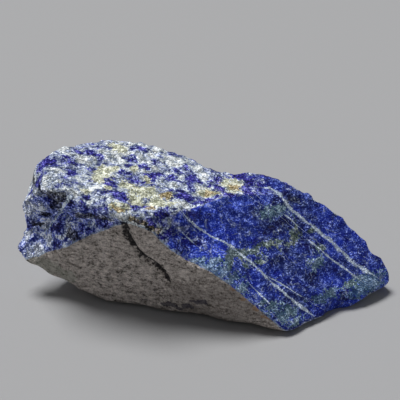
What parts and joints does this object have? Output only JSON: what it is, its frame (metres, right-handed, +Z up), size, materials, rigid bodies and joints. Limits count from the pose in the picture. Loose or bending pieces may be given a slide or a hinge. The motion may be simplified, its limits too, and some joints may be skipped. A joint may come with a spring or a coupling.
{
  "type": "rough lapis lazuli stone",
  "caption": "Long wedge of rough lapis lazuli, blue with pale mottling and fine white veins, with a strip of grey rind under its front edge. It rests on a flat underside.",
  "frame": {"origin": "under the middle of the stone's outline, on the plane it rests on", "axes": "+X along the stone's length towards its thin tip, +Z up, -Y towards the side with the grey rind"},
  "size_m": [0.1201, 0.051, 0.046],
  "materials": {
    "lapis": "rough broken stone, ultramarine with pale calcite mottling, fine white veins and a grey-brown rind"
  },
  "bodies": {
    "root": {"lapis_stone": "lapis"}
  },
  "joints": []
}
